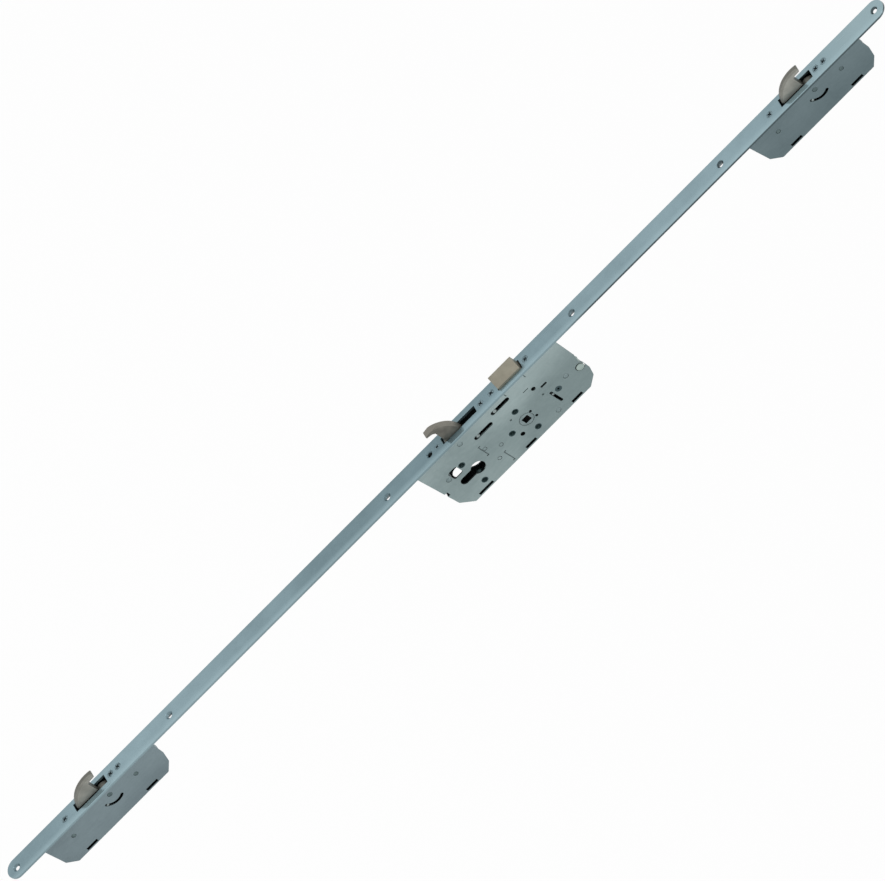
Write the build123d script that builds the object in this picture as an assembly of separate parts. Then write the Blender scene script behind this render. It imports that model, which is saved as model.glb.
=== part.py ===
from build123d import *
import math
import os

# Multipoint door lock for an entrance door, hooks thrown and latch out.
# X runs through the thickness of the door, Y goes from the door's edge into the door, and Z is up.
# The origin is on the handle spindle's axis, in the middle of the door's thickness.
# Depths are measured from the front of the faceplate, heights from the spindle.

# Faceplate
faceplate_width = 24.0
faceplate_thickness = 3.0
upper_end_margin = 114.8
lower_end_margin = 135.7
faceplate_edge_break = 0.4
end_hole_inset = 12.0
backset = 55.0

# Cases
case_thickness = 16.0
sheet = 1.5
case_behind_spindle = 32.0
main_case_back = backset + case_behind_spindle
main_case_above = 87.0
main_case_below = 118.5
hook_case_back = 49.6
hook_case_above = 70.5
hook_case_below = 91.0
case_corner = 2.0
case_bend = 1.2
notch_depth = 5.0
main_tray_inset = 4.4
hook_tray_inset = 3.0

# Stroke of the drive and how far it turns the hooks
stroke = 18.0
hook_start_angle = -50.0
hook_turn = 81.3

# Clearances
running_fit = 0.05
press_fit = 0.02
slide_gap = 0.2
side_gap = 0.3
free_gap = 0.5
overrun = 1.0

# Hooks, their pivots and their pins
hook_thickness = 8.0
hook_bevel = 1.9
hook_window_gap = 1.7
pivot_radius = 3.0
collar_radius = 5.0
drive_pin_radius = 2.0
guide_pin_radius = 2.1
guide_slot_gap = 0.5
upper_pivot_height = 465.2
lower_pivot_height = -584.3
hook_pivot_depth = 13.1
hook_reach = 35.6
hook_tip_height = 7.0
hook_tip_width = 5.6
hook_tip_rounding = 2.0
hook_jaw_floor = -4.0
hook_tail_angle = 249.0
hook_hub_radius = 9.5
hook_pin_orbit = 14.0
main_pivot_depth = 13.0
main_pivot_height = -61.2
main_hub_radius = 8.0
fork_reach = 14.0
fork_wall = 3.1
main_pin_offset = 7.82
main_hook_reach = 38.2
main_hook_drop = 14.8
main_pin_play = 0.9
main_window_below = 10.7
main_window_above = 38.8
hook_pin_radius = 1.4
hook_pin_boss = 3.4
hook_slot_overtravel = 7.0
hook_tail_back = 6.9
hook_tail_drop = 8.0

# Drive rods behind the faceplate
rod_width = 12.0
rod_thickness = 2.5
rod_slot_width = 5.8
slide_thickness = 2.0
foot_height = 5.5
tab_height = 4.0

# Main drive slide
neck_front = 19.0
neck_back = 27.0
main_foot_bottom = 57.0
main_foot_height = 4.5
carrier_front = 12.6
carrier_top = -8.4
slide_front_bottom = -76.0
slide_front_top = -50.0
slide_bottom = -110.0
low_tab_height = -101.0
upper_rod_end = 47.0
lower_rod_end = -90.0

# Hook case drive slides
yoke_front = 18.8
yoke_back = 31.0
yoke_wall = 3.0
yoke_play = 1.0
yoke_shift = 0.35
hook_neck_front = 22.6
foot_above_pivot = 38.5
foot_below_pivot = 80.8
rod_end_above_pivot = 12.0
rod_end_below_pivot = 56.0

# Latch
latch_width = 12.0
latch_bottom = 10.5
latch_height = 32.0
latch_reach = 12.0
latch_short_side = 3.0
latch_body_back = 6.0
latch_tip_flat = 1.5
latch_travel = 12.0
carriage_thickness = 6.0
carriage_height = 7.0
carriage_middle = 37.8
carriage_lug_thickness = 3.0
carriage_lug_bottom = 13.0
latch_pin_behind = 2.0
latch_pin_depth = backset + latch_pin_behind
latch_pin_radius = 1.4
latch_window_margin = 2.0
latch_window_gap = 1.2
guide_block_ahead = 15.0
guide_block_front = backset - guide_block_ahead
guide_block_thickness = 6.0
guide_block_below = 17.0
guide_block_above = 2.6

# Follower, turned by the handle
spindle_square = 8.0
spindle_clearance = 0.1
journal_radius = 8.0
follower_radius = 12.0
follower_collar = 9.2
follower_step = 3.0
finger_width = 6.0
finger_height = 20.0

# Springs
latch_spring_height = 22.0
latch_spring_radius = 3.3
latch_spring_wire = 1.0
latch_spring_turns = 8
return_spring_height = 17.6
return_spring_radius = 3.3
return_spring_wire = 1.2
return_spring_turns = 7
wire_sides = 8

# Profile cylinder and its gears
cylinder_drop = 72.0
cylinder_radius = 8.5
cylinder_slot = 10.0
cylinder_height = 33.0
cylinder_tray_gap = 3.0
gear_module = 1.5
gear_pressure_angle = 25.0
gear_teeth = 14
idler_teeth = 10
tooth_addendum_share = 0.8
tooth_dedendum_share = 1.05
tooth_backlash = 0.3
gear_thickness = 8.0
gear_spread = 24.4
gear_rise = 20.9
axle_radius = 2.5
axle_collar = 4.0
rack_teeth_above = 2
rack_teeth_below = 5

# Holes for roses and long plates
rose_spacing = 38.0
rose_bush_radius = 3.9
rose_bore = 3.1
cylinder_rose_drop = 79.5
long_plate_drop = 21.5
ring_bush_rise = 46.1
ring_bush_depth = 56.3

# Small holes of the main cover
slot_one_depth = 15.1
slot_one_pin = -11.3
slot_two_depth = 23.5
slot_two_pin = -43.3
slot_overtravel = 2.6
level_slot_ahead = 5.6
level_slot_behind = 3.3
small_slot_depth = 37.4
small_slot_width = 2.8
small_slot_height = 8.4
small_slot_middle = 41.1
tool_hole_depth = 31.1
tool_hole_height = 31.5
tool_hole_radius = 2.6
open_hole_depth = 66.0
open_hole_height = -15.6
open_hole_radius = 2.7
window_depth = 37.4
window_height = -90.3
window_long = 13.0
window_high = 12.2
window_corner = 2.5
stud_depth = 56.0
stud_inset = 8.4
stud_radius = 4.5
stud_notch_gap = 0.9
stud_shaft_radius = 2.2
stud_proud = 0.6
foot_notch_depth = 51.6
foot_notch_width = 5.4
foot_notch_rise = 5.6
dimple_radius = 1.3
dimple_depth = 0.5
stop_hole_radius = 1.7
mark_width = 1.1
mark_depth = 0.5
mark_tick = 2.4

# Rivets that hold each case together
top_rivet_ahead = 3.931
top_rivet_share = 0.38526
rear_rivet_inset = 8.961
rear_rivet_height = 26.535
low_rivet_ahead = 16.894
low_rivet_rise = 18.015
rivet_radius = 3.0
rivet_shoulder = 4.0
hook_rivet_shoulder = 3.6
hook_rivet_radius = 2.7
head_break = 0.5
hook_rivet_depth = 18.5
hook_rivet_rise = 34.334
hook_rivet_drop = 58.868

# Screws and their blocks
screw_radius = 2.0
screw_head_radius = 4.3
screw_length = 11.0
small_screw_radius = 1.5
small_screw_head_radius = 3.1
recess_width = 1.3
recess_length = 5.2
recess_depth = 1.4
block_front = 6.2
block_back = 12.0
block_margin = 4.2
door_screw_hole_radius = 2.6
door_screw_head_radius = 4.8
cylinder_screw_height = -90.8
cylinder_screw_hole_radius = 2.8
cylinder_screw_head_radius = 4.2
guide_stud_radius = 2.5
guide_stud_head_radius = 4.5
guide_stud_head = 1.5

# Heights of the holes along the faceplate
inner_hole_above = 120.0
inner_hole_below = 154.0
outer_hole_below_hook = 124.5
outer_hole_above_hook = 104.5
main_screw_heights = (51.3, 0.7, -15.0)
small_screw_height = -79.3
hook_screw_offsets = (27.7, 16.6, -51.2)

# Main case's outline as shares of its depth behind the faceplate and of its height above or below
main_top_shares = (
    (0.0, 1.0), (0.43, 0.982), (0.565, 0.94), (0.6, 0.967), (0.76, 0.96), (0.885, 0.912), (1.0, 0.766),
)
main_bottom_shares = ((1.0, 0.878), (0.82, 0.975), (0.0, 1.0))
hook_top_shares = ((0.0, 1.0), (0.49, 0.982), (0.77, 0.922), (1.0, 0.776))
hook_bottom_shares = ((1.0, 0.868), (0.757, 0.975), (0.0, 1.0))

# Main hook's outline as shares of its reach in front of the pivot and of its drop below it
main_hook_back_shares = ((-0.275, 1.034), (-0.678, 0.777), (-0.974, 0.034))
main_hook_jaw_shares = (
    (-1.0, -0.541), (-0.969, -1.0), (-0.919, -1.0), (-0.903, -0.716), (-0.88, -0.534),
    (-0.822, -0.378), (-0.55, -0.392), (-0.262, -0.405), (0.0, 0.0), (0.079, 0.845),
)

# Rivets, dimples and rear notches of the main case as shares of its back depth and upper height
dimple_shares = ((0.46, -0.115), (0.534, 0.368))
stop_hole_shares = ((0.583, 0.106), (0.703, 0.108))
level_mark_shares = ((0.398, 0.607, -0.62), (0.747, 0.96, -0.494))
upright_mark_shares = ((0.286, 0.253, 0.333),)
crease_mark_shares = ((0.06, 0.13, 0.108), (0.06, 0.13, 0.437))
main_notch_shares = ((0.649, 0.48), (-0.137, -0.306), (-0.874, -1.103))
hook_notch_shares = ((0.582, 0.355), (-0.695, -0.908))

# Guide studs as shares of the way from an inner door hole to an outer one
upper_guide_shares = (0.25, 0.545, 0.84)
lower_guide_shares = (0.17, 0.45, 0.72, 0.88)

# Planes and levels that follow from the sizes above
faceplate_above = upper_pivot_height + upper_end_margin
faceplate_below = lower_end_margin - lower_pivot_height
upper_hole_heights = (upper_pivot_height - outer_hole_below_hook, inner_hole_above)
lower_hole_heights = (-inner_hole_below, lower_pivot_height + outer_hole_above_hook)
case_half = case_thickness / 2
inner_half = case_half - sheet
slide_low = slide_gap - inner_half
slide_high = slide_low + slide_thickness
hook_low = -hook_thickness / 2
hook_high = hook_thickness / 2
rod_front = faceplate_thickness + side_gap
rod_back = rod_front + rod_thickness
rod_half = rod_width / 2
slide_front = faceplate_thickness + side_gap
faceplate_length = faceplate_above + faceplate_below
faceplate_middle = (faceplate_above - faceplate_below) / 2
latch_top = latch_bottom + latch_height
latch_window_top = latch_top + latch_window_margin
carriage_low = carriage_middle - carriage_height / 2 + free_gap / 2
carriage_high = carriage_low + carriage_height
finger_contact = backset + finger_width / 2 + side_gap
lug_back = finger_contact + carriage_lug_thickness
drive_pin_depth = main_pivot_depth - main_pin_offset
drive_pin_height = main_pivot_height - stroke / 2
hook_pin_depth = hook_pivot_depth + hook_pin_orbit * math.cos(math.radians(hook_start_angle))
hook_pin_offset = hook_pin_orbit * math.sin(math.radians(hook_start_angle))
pin_end = case_half - slide_gap * 2
gear_height = gear_rise - cylinder_drop
gear_high = slide_low + gear_thickness
rack_line = backset - gear_spread / 2 - gear_module * gear_teeth / 2
idler_rise = math.sqrt((gear_module * (gear_teeth + idler_teeth) / 2) ** 2 - (gear_spread / 2) ** 2)


def at(depth, height):
    """Place in the (Y, Z) plane of a depth behind the faceplate's front and a height."""
    return depth - backset, height


def across(sketch, low, high):
    """Solid of a sketch drawn from the side, in (depth, height), between two X levels."""
    return extrude(Plane.YZ.offset(low) * sketch, high - low)


def inward(sketch, front, back):
    """Solid of a sketch drawn on the faceplate, in (X, Z), between two depths."""
    plane = Plane((0, back - backset, 0), x_dir=(1, 0, 0), z_dir=(0, -1, 0))
    return extrude(plane * sketch, back - front)


def outline(points):
    """Closed face through points given as (depth, height)."""
    return make_face(Polyline(*[at(depth, height) for depth, height in points], close=True))


def disc(depth, height, radius):
    """Round face seen from the side."""
    return Pos(*at(depth, height)) * Circle(radius)


def strip(front, back, bottom, top):
    """Rectangular face seen from the side."""
    return Pos(*at((front + back) / 2, (bottom + top) / 2)) * Rectangle(back - front, top - bottom)


def upright_slot(depth, bottom, top, width):
    """Upright slot face with round ends, seen from the side."""
    return Pos(*at(depth, (bottom + top) / 2)) * SlotOverall(top - bottom, width, rotation=90)


def level_slot(height, front, back, width):
    """Level slot face with round ends, seen from the side."""
    return Pos(*at((front + back) / 2, height)) * SlotOverall(back - front, width)


def front_slot(bottom, top, width):
    """Upright slot face with round ends, seen from the front."""
    return Pos(0, (bottom + top) / 2) * SlotOverall(top - bottom, width, rotation=90)


def front_window(bottom, top, width, corner):
    """Upright window face with small corner radii, seen from the front."""
    return Pos(0, (bottom + top) / 2) * RectangleRounded(width, top - bottom, corner)


def cross_pin(depth, height, radius, low, high):
    """Round pin across the door's thickness."""
    return across(disc(depth, height, radius), low, high)


def countersink(height, radius, head_radius):
    """Cutter for a countersunk hole through the faceplate."""
    depth = head_radius - radius
    cone_plane = Plane((0, depth - backset, height), x_dir=(1, 0, 0), z_dir=(0, -1, 0))
    cone = cone_plane * Cone(radius, head_radius, depth, align=(Align.CENTER, Align.CENTER, Align.MIN))
    hole = inward(Pos(0, height) * Circle(radius), -overrun, faceplate_thickness + overrun)
    return hole + cone


def countersunk_screw(height, radius, head_radius, length):
    """Countersunk screw with a cross recess, its head just below the faceplate's front."""
    sink = press_fit
    head = head_radius - radius
    plane = Plane((0, sink + head - backset, height), x_dir=(1, 0, 0), z_dir=(0, -1, 0))
    cone = plane * Cone(radius, head_radius, head, align=(Align.CENTER, Align.CENTER, Align.MIN))
    shank = inward(Pos(0, height) * Circle(radius), sink + head, sink + length)
    size = head_radius / screw_head_radius
    bars = Rectangle(recess_length * size, recess_width * size)
    bars += Rectangle(recess_width * size, recess_length * size)
    recess = Pos(0, height) * Rot(0, 0, 45) * bars
    return cone + shank - inward(recess, -overrun, sink + recess_depth * size)


def save(node, shape):
    """Writes one node's solids to its own file."""
    export_step(shape, f"parts/{node}.step")


def faceplate():
    """Long strip with round ends, its windows and its countersunk holes."""
    strip_face = Pos(0, faceplate_middle) * SlotOverall(faceplate_length, faceplate_width, rotation=90)
    plate = inward(strip_face, 0, faceplate_thickness)
    front_edges = plate.faces().sort_by(Axis.Y)[0].edges()
    plate = chamfer(front_edges, faceplate_edge_break)
    latch_low = latch_bottom - latch_window_gap
    windows = front_window(latch_low, latch_window_top, latch_width + 2 * side_gap, free_gap)
    windows += front_window(*main_hook_window(), hook_thickness + 4 * side_gap, free_gap)
    for pivot in (upper_pivot_height, lower_pivot_height):
        windows += front_window(*hook_window(pivot), hook_thickness + 2 * hook_window_gap, free_gap)
    plate -= inward(windows, -overrun, faceplate_thickness + overrun)
    ends = (faceplate_above - end_hole_inset, end_hole_inset - faceplate_below)
    for height in upper_hole_heights + lower_hole_heights + ends:
        plate -= countersink(height, door_screw_hole_radius, door_screw_head_radius)
    for height in screw_heights():
        plate -= countersink(height, screw_radius + press_fit, screw_head_radius + press_fit)
    small_hole = small_screw_radius + press_fit
    plate -= countersink(small_screw_height, small_hole, small_screw_head_radius + press_fit)
    return plate - countersink(cylinder_screw_height, cylinder_screw_hole_radius, cylinder_screw_head_radius)


def main_hook_window():
    """Bottom and top of the faceplate's window for the main hook."""
    return main_pivot_height - main_window_below, main_pivot_height + main_window_above


def hook_window(pivot):
    """Bottom and top of the faceplate's window for an upper or lower hook."""
    return pivot - hook_reach, pivot + hook_hub_radius + free_gap


def screw_heights():
    """Heights of all the screws that hold the cases to the faceplate."""
    heights = list(main_screw_heights)
    for pivot in (upper_pivot_height, lower_pivot_height):
        heights += [pivot + offset for offset in hook_screw_offsets]
    return heights


def case_face(top_shares, bottom_shares, back, above, below, level):
    """Side outline of a case, with rounded rear corners."""
    reach = back - faceplate_thickness
    points = [(faceplate_thickness + reach * depth, level + above * height) for depth, height in top_shares]
    points += [
        (faceplate_thickness + reach * depth, level - below * height)
        for depth, height in bottom_shares
    ]
    face = outline(points)
    front, _ = at(faceplate_thickness, level)
    rear = [corner for corner in face.vertices() if corner.X > front + sheet]
    return fillet(rear, case_corner)


def main_case_face():
    """Side outline of the main case."""
    return case_face(
        main_top_shares, main_bottom_shares, main_case_back, main_case_above, main_case_below, 0
    )


def hook_case_face(pivot):
    """Side outline of a hook case."""
    return case_face(
        hook_top_shares, hook_bottom_shares, hook_case_back, hook_case_above, hook_case_below, pivot
    )


def rear_notches(shares, back, above, level):
    """Face of the notches along a case's rear edge."""
    face = Sketch()
    for top_share, bottom_share in shares:
        bottom, top = level + above * bottom_share, level + above * top_share
        notch = strip(back - notch_depth, back + overrun, bottom, top)
        face += notch
    return face


def rear_tabs(shares, back, above, level):
    """Face of the tabs of the rear wall that come up into the cover's notches."""
    face = Sketch()
    for top_share, bottom_share in shares:
        top = level + above * top_share - side_gap
        face += strip(back - sheet, back, level + above * bottom_share + side_gap, top)
    return face


def tray(cover, above, below, level, tabs, rod_exits, inset):
    """Folded tray, open towards the faceplate, lower at its top than the cover, with exits for the rods."""
    face = cover & (Pos(0, -inset) * cover)
    shell = across(face, -case_half, inner_half)
    front, _ = at(faceplate_thickness, level)
    rim = shell.faces().sort_by(Axis.X)[0].edges()
    bends = [edge for edge in rim if edge.center().Y > front + sheet / 2]
    shell = fillet(bends, case_bend)
    cavity = offset(face, -sheet)
    bottom = level - below + sheet
    top = level + above - inset - sheet
    mouth = strip(faceplate_thickness - overrun, faceplate_thickness + 2 * sheet, bottom, top)
    shell -= across(cavity + mouth, -inner_half, inner_half + overrun)
    shell += across(tabs, inner_half - sheet, case_half)
    for height in rod_exits:
        gap = Pos(0, height) * Rectangle(rod_width + 2 * side_gap, 4 * sheet)
        shell -= inward(gap, faceplate_thickness - overrun, rod_back + side_gap)
    return shell


def cylinder_face():
    """Key-hole shaped opening for a profile cylinder."""
    lobe_bottom = cylinder_radius - cylinder_drop - cylinder_height
    face = disc(backset, -cylinder_drop, cylinder_radius)
    return face + upright_slot(backset, lobe_bottom, -cylinder_drop, cylinder_slot)


def bush_places():
    """Places of the bushes for rose and long-plate screws, as (depth, height)."""
    half = rose_spacing / 2
    places = [(backset + side * half, 0) for side in (-1, 1)]
    places += [(backset + side * half, -cylinder_rose_drop) for side in (-1, 1)]
    return places + [(backset, -long_plate_drop)]


def main_rivet_places():
    """Places of the main case's rivets, as (depth, height)."""
    top_rivet_height = ring_bush_rise + top_rivet_share * (main_case_above - ring_bush_rise)
    return [
        (backset - top_rivet_ahead, top_rivet_height),
        (main_case_back - rear_rivet_inset, rear_rivet_height),
        (backset - low_rivet_ahead, low_rivet_rise - main_case_below),
    ]


def hook_rivet_places(pivot):
    """Places of a hook case's rivets, as (depth, height)."""
    return [(hook_rivet_depth, pivot + hook_rivet_rise), (hook_rivet_depth, pivot - hook_rivet_drop)]


def main_case_holes():
    """Face of the holes that go through both sides of the main case."""
    face = cylinder_face() + disc(backset, 0, journal_radius + running_fit)
    for depth, height in bush_places():
        face += disc(depth, height, rose_bush_radius + press_fit)
    for depth, height in main_rivet_places():
        face += disc(depth, height, rivet_radius + press_fit)
    for name, depth, height in gear_places():
        face += disc(depth, height, axle_radius + press_fit)
    face += disc(main_pivot_depth, main_pivot_height, pivot_radius + press_fit)
    window = Pos(*at(window_depth, window_height)) * RectangleRounded(window_long, window_high, window_corner)
    foot = strip(
        foot_notch_depth - foot_notch_width / 2, foot_notch_depth + foot_notch_width / 2,
        -main_case_below - overrun, foot_notch_rise - main_case_below,
    )
    return face + window + foot


def stud_height():
    """Height of the stud, which sits at its own distance below the top of the main case."""
    return main_case_above - stud_inset


def main_cover_slots():
    """Face of the slots and holes that only the main cover has."""
    width = 2 * (guide_pin_radius + guide_slot_gap)
    face = Sketch()
    for depth, height in stop_hole_shares:
        face += disc(main_case_back * depth, main_case_above * height, stop_hole_radius)
    for depth, pin in ((slot_one_depth, slot_one_pin), (slot_two_depth, slot_two_pin)):
        face += upright_slot(depth, pin - slot_overtravel - width / 2, pin + stroke + width / 2, width)
    level_front = latch_pin_depth - level_slot_ahead
    level_back = latch_pin_depth + latch_travel + level_slot_behind
    face += level_slot(carriage_middle, level_front, level_back, 2 * (latch_pin_radius + side_gap))
    small_top = small_slot_middle + small_slot_height / 2
    face += upright_slot(small_slot_depth, small_top - small_slot_height, small_top, small_slot_width)
    face += disc(tool_hole_depth, tool_hole_height, tool_hole_radius)
    face += disc(open_hole_depth, open_hole_height, open_hole_radius)
    face += disc(ring_bush_depth, ring_bush_rise, rose_bush_radius + press_fit)
    return face + disc(stud_depth, stud_height(), stud_radius + stud_notch_gap)


def pressed_marks():
    """Face of the shallow marks that the press leaves in the main cover."""
    half = mark_width / 2
    face = Sketch()
    for front, back, height in level_mark_shares:
        low, high, level = main_case_back * front, main_case_back * back, main_case_above * height
        face += strip(low, high, level - half, level + half)
        face += strip(low, low + mark_width, level, level + mark_tick)
        face += strip(high - mark_width, high, level - mark_tick, level)
    for front, back, height in crease_mark_shares:
        level = main_case_above * height
        face += strip(main_case_back * front, main_case_back * back, level - half, level + half)
    for depth, bottom, top in upright_mark_shares:
        middle = main_case_back * depth
        face += strip(middle - half, middle + half, main_case_above * bottom, main_case_above * top)
    return face


def main_case_tray():
    """Tray of the main case, with the stud's notch in its top wall."""
    tabs = rear_tabs(main_notch_shares, main_case_back, main_case_above, 0)
    exits = (main_case_above - main_tray_inset, -main_case_below)
    body = tray(main_case_face(), main_case_above, main_case_below, 0, tabs, exits, main_tray_inset)
    holes = main_case_holes() + offset(cylinder_face(), cylinder_tray_gap)
    body -= across(holes, -case_half - overrun, inner_half + overrun)
    shaft = disc(stud_depth, stud_height(), stud_shaft_radius + press_fit)
    head = disc(stud_depth, stud_height(), stud_radius + press_fit)
    return body - across(shaft, -inner_half, inner_half) - across(head, inner_half - sheet, case_half)


def main_case_cover():
    """Flat cover of the main case with its slots, holes and small dimples."""
    cover = across(main_case_face(), inner_half, case_half)
    holes = main_case_holes() + main_cover_slots()
    holes += rear_notches(main_notch_shares, main_case_back, main_case_above, 0)
    holes += disc(backset, 0, journal_radius + free_gap)
    cover -= across(holes, inner_half - overrun, case_half + overrun)
    for depth, height in dimple_shares:
        place = disc(main_case_back * depth, main_case_above * height, dimple_radius)
        cover -= across(place, case_half - dimple_depth, case_half + overrun)
    return cover - across(pressed_marks(), case_half - mark_depth, case_half + overrun)


def hook_case_holes(pivot):
    """Face of the holes that go through both sides of a hook case."""
    face = disc(hook_pivot_depth, pivot, pivot_radius + press_fit)
    for depth, height in hook_rivet_places(pivot):
        face += disc(depth, height, hook_rivet_radius + press_fit)
    return face


def arc_slot(pivot):
    """Curved slot face round a hook's pivot, for its drive pin."""
    start = hook_start_angle - hook_slot_overtravel
    sweep_angle = hook_turn + hook_slot_overtravel + math.degrees(side_gap / hook_pin_orbit)
    centre_line = CenterArc((0, 0), hook_pin_orbit, start, sweep_angle)
    return Pos(*at(hook_pivot_depth, pivot)) * SlotArc(centre_line, 2 * (hook_pin_radius + side_gap))


def hook_case_tray(pivot, rod_exit):
    """Tray of a hook case, with one exit for the drive rod."""
    tabs = rear_tabs(hook_notch_shares, hook_case_back, hook_case_above, pivot)
    face = hook_case_face(pivot)
    body = tray(face, hook_case_above, hook_case_below, pivot, tabs, (rod_exit,), hook_tray_inset)
    return body - across(hook_case_holes(pivot), -case_half - overrun, inner_half + overrun)


def hook_case_cover(pivot):
    """Flat cover of a hook case with its arc slot."""
    cover = across(hook_case_face(pivot), inner_half, case_half)
    holes = hook_case_holes(pivot) + arc_slot(pivot)
    holes += rear_notches(hook_notch_shares, hook_case_back, hook_case_above, pivot)
    return cover - across(holes, inner_half - overrun, case_half + overrun)


def guide_heights(inner, outer, shares):
    """Heights of the guide studs between an inner and an outer door hole."""
    return [inner + (outer - inner) * share for share in shares]


def headed_pin(depth, height, radius):
    """Pin from side to side of a case, its flush ends broken at the rim."""
    pin = cross_pin(depth, height, radius, -case_half, case_half)
    rims = [edge for edge in pin.edges() if edge.geom_type == GeomType.CIRCLE]
    return chamfer(rims, head_break)


def rivet(depth, height, radius, shoulder):
    """Spacer rivet between the two sides of a case."""
    return headed_pin(depth, height, radius) + cross_pin(depth, height, shoulder, -inner_half, inner_half)


def ring_bush():
    """Open bush above the follower, pressed into the cover."""
    start, end = inner_half - overrun, case_half + overrun
    bore = cross_pin(ring_bush_depth, ring_bush_rise, latch_pin_radius, start, end)
    return cross_pin(ring_bush_depth, ring_bush_rise, rose_bush_radius, inner_half, case_half) - bore


def top_stud():
    """Stud in the notch of the main cover: a head that stands proud and a thinner shaft."""
    head = cross_pin(stud_depth, stud_height(), stud_radius, inner_half - sheet, case_half + stud_proud)
    return head + cross_pin(stud_depth, stud_height(), stud_shaft_radius, -inner_half, inner_half)


def hook_drive_pin(pivot, start, end):
    """Pin of a hook case's slide that turns its hook and shows in the arc slot."""
    return cross_pin(hook_pin_depth, pivot + hook_pin_offset, hook_pin_radius, start, end)


def pivot_pin(depth, height):
    """Pivot pin of a hook, with a collar that keeps the hook in the middle."""
    collar = cross_pin(depth, height, collar_radius, hook_high + slide_gap, inner_half)
    return headed_pin(depth, height, pivot_radius) + collar


def screw_block(heights, low):
    """Threaded block behind the faceplate for one or two screws."""
    bottom = min(heights) - block_margin
    top = max(heights) + block_margin
    block = across(strip(block_front, block_back, bottom, top), low, inner_half)
    for height in heights:
        hole = Pos(0, height) * Circle(screw_radius + press_fit)
        block -= inward(hole, block_front - overrun, block_back + overrun)
    return block


def small_screw_block():
    """Narrower block for the small screw, beside the main drive slide."""
    bottom = small_screw_height - block_margin
    top = small_screw_height + block_margin
    block = across(strip(block_front, block_back, bottom, top), slide_high + side_gap, inner_half)
    hole = Pos(0, small_screw_height) * Circle(small_screw_radius + press_fit)
    return block - inward(hole, block_front - overrun, block_back + overrun)


def guide_stud(height):
    """Stud on the faceplate's back that holds a drive rod and lets it slide."""
    centre = Pos(0, height) * Circle(guide_stud_radius)
    head = Pos(0, height) * Circle(guide_stud_head_radius)
    seat = rod_back + slide_gap
    return inward(centre, faceplate_thickness, seat) + inward(head, seat, seat + guide_stud_head)


def rod_guide_studs():
    """All the guide studs along the faceplate's back."""
    heights = guide_heights(upper_hole_heights[1], upper_hole_heights[0], upper_guide_shares)
    heights += guide_heights(lower_hole_heights[0], lower_hole_heights[1], lower_guide_shares)
    return Compound([guide_stud(height) for height in heights])


def hook_blade(pivot):
    """Face of a hook: arc-backed blade, blunt tip, jaw, hub and a boss for its drive pin."""
    centre_depth, centre_height = at(hook_pivot_depth, pivot)

    def on_back(angle):
        turn = math.radians(angle)
        return centre_depth + hook_reach * math.cos(turn), centre_height + hook_reach * math.sin(turn)

    tip_angle = 180 - math.degrees(math.asin(hook_tip_height / 2 / hook_reach))
    tip_front = hook_pivot_depth - hook_reach
    middle_angle = (hook_tail_angle + tip_angle) / 2
    back = ThreePointArc(on_back(hook_tail_angle), on_back(middle_angle), on_back(tip_angle))
    rest = Polyline(
        on_back(tip_angle),
        at(tip_front + hook_tip_width / 5, pivot + hook_tip_height),
        at(tip_front + hook_tip_width, pivot + hook_tip_height),
        at(tip_front + hook_tip_width + free_gap, pivot + hook_jaw_floor),
        at(hook_pivot_depth, pivot + hook_jaw_floor),
        at(hook_pivot_depth + hook_tail_back, pivot - hook_tail_drop),
        on_back(hook_tail_angle),
    )
    face = make_face([back, rest])
    tip_corners = [corner for corner in face.vertices() if abs(corner.Y - pivot - hook_tip_height) < side_gap]
    face = fillet(tip_corners, hook_tip_rounding)
    jaw = [corner for corner in face.vertices() if abs(corner.Y - pivot - hook_jaw_floor) < side_gap]
    face = fillet(sorted(jaw, key=lambda corner: corner.X)[:1], hook_tip_width / 3)
    boss_line = Line(at(hook_pivot_depth, pivot), at(hook_pin_depth, pivot + hook_pin_offset))
    return face + disc(hook_pivot_depth, pivot, hook_hub_radius) + SlotArc(boss_line, 2 * hook_pin_boss)


def bevelled_disc(centre, radius):
    """Disc with bevelled rims that trims the back of a hook."""
    body = across(Pos(centre[0], centre[1]) * Circle(radius), hook_low, hook_high)
    rims = [edge for edge in body.edges() if edge.geom_type == GeomType.CIRCLE]
    return chamfer(rims, hook_bevel)


def hook(pivot):
    """Upper or lower hook bolt with a bevelled back, bored for its pivot and drive pin."""
    body = across(hook_blade(pivot), hook_low, hook_high)
    body &= bevelled_disc(at(hook_pivot_depth, pivot), hook_reach)
    bores = disc(hook_pivot_depth, pivot, pivot_radius + running_fit)
    bores += disc(hook_pin_depth, pivot + hook_pin_offset, hook_pin_radius + press_fit)
    return body - across(bores, hook_low - overrun, hook_high + overrun)


def main_hook_point(share):
    """Place on the main hook's outline from its share of the reach and of the drop."""
    depth, height = share
    return at(main_pivot_depth + main_hook_reach * depth, main_pivot_height + main_hook_drop * height)


def main_hook_face():
    """Face of the main hook: curved back, tip pointing down, hub and a forked end for the drive pin."""
    start, middle, end = [main_hook_point(share) for share in main_hook_back_shares]
    back = ThreePointArc(start, middle, end)
    rest = Polyline(end, *[main_hook_point(share) for share in main_hook_jaw_shares], start)
    centre = Pos(*at(main_pivot_depth, main_pivot_height))
    turned = centre * Rot(0, 0, math.degrees(math.atan2(-stroke / 2, -main_pin_offset)))
    width = 2 * (drive_pin_radius + main_pin_play + side_gap)
    fork = turned * Pos(fork_reach / 2, 0) * Rectangle(fork_reach, width + 2 * fork_wall)
    fork = fork & (centre * Circle(fork_reach))
    closed_end = main_pin_offset - drive_pin_radius - side_gap
    groove = turned * Pos(closed_end + fork_reach / 2, 0) * Rectangle(fork_reach, width)
    return make_face([back, rest]) + centre * Circle(main_hub_radius) + fork - groove


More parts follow.
